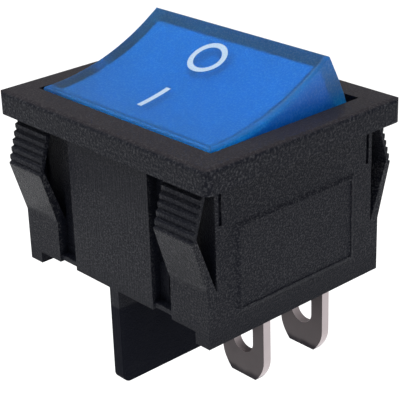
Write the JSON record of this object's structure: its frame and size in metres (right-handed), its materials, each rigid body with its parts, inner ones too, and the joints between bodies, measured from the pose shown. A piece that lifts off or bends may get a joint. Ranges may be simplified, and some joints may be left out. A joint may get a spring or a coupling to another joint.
{
  "type": "rocker switch",
  "caption": "Snap-in two-pole lit rocker switch: blue dished rocker in a black bezel, four side latches, a fin between the poles and four solder tabs.",
  "frame": {"origin": "centre of the bezel's underside, in the plane of the panel's front face", "axes": "+X along the rocking axis, +Y towards the ring-marked (off) side, +Z out of the panel towards the rocker"},
  "size_m": [0.0248, 0.0212, 0.0274],
  "materials": {
    "black_nylon": "fine spark texture on the sides, smoother on the bezel's top",
    "blue_polycarbonate": "clear blue moulding with a finely frosted face",
    "milky_nylon": "milky light-spreading moulding",
    "lamp_glass": "neon lamp glass",
    "tinned_wire": "tinned copper wire",
    "resistor_body": "lacquered film resistor",
    "brass": "bright turned brass",
    "spring_steel": "spring steel wire",
    "copper_alloy": "pressed copper alloy strip",
    "contact_silver": "silver alloy contact rivets",
    "tinned_brass": "tin-plated brass, pressed"
  },
  "bodies": {
    "housing": {"housing": "black_nylon", "common_terminal_left": "tinned_brass", "common_terminal_right": "tinned_brass", "switched_terminal_left": "tinned_brass", "switched_terminal_right": "tinned_brass", "fixed_contact_left": "contact_silver", "fixed_contact_right": "contact_silver"},
    "rocker": {"rocker_cap": "blue_polycarbonate", "rocker_frame": "milky_nylon", "neon_lamp": "lamp_glass", "lamp_lead_left": "tinned_wire", "lamp_lead_right": "tinned_wire", "ballast_resistor": "resistor_body", "resistor_lead": "tinned_wire", "plunger_spring_left": "spring_steel", "plunger_spring_right": "spring_steel"},
    "plunger_left": {"plunger_left": "brass"},
    "plunger_right": {"plunger_right": "brass"},
    "blade_left": {"contact_blade_left": "copper_alloy", "moving_contact_left": "contact_silver"},
    "blade_right": {"contact_blade_right": "copper_alloy", "moving_contact_right": "contact_silver"}
  },
  "joints": [
    {"name": "rocker_tilt", "type": "hinge", "parent": "housing", "child": "rocker", "pos_m": [0, 0, -0.0003], "axis": [-1, 0, 0], "range_deg": [0, 36.4]},
    {"name": "blade_left_swing", "type": "hinge", "parent": "housing", "child": "blade_left", "pos_m": [-0.00528, 0, -0.00735], "axis": [1, 0, 0], "range_deg": [0, 18]},
    {"name": "blade_right_swing", "type": "hinge", "parent": "housing", "child": "blade_right", "pos_m": [0.00528, 0, -0.00735], "axis": [1, 0, 0], "range_deg": [0, 18]},
    {"name": "plunger_left_slide", "type": "slide", "parent": "rocker", "child": "plunger_left", "axis": [0, -0.3123, 0.95], "range_m": [0, 0.0004], "stiffness_N_per_m": 800, "springref_m": -0.002, "deforming": ["plunger_spring_left"]},
    {"name": "plunger_right_slide", "type": "slide", "parent": "rocker", "child": "plunger_right", "axis": [0, -0.3123, 0.95], "range_m": [0, 0.0004], "stiffness_N_per_m": 800, "springref_m": -0.002, "deforming": ["plunger_spring_right"]}
  ],
  "couplings": [
    {"joint": "blade_left_swing", "follows": "rocker_tilt", "ratio": 0.4945},
    {"joint": "blade_right_swing", "follows": "rocker_tilt", "ratio": 0.4945}
  ]
}
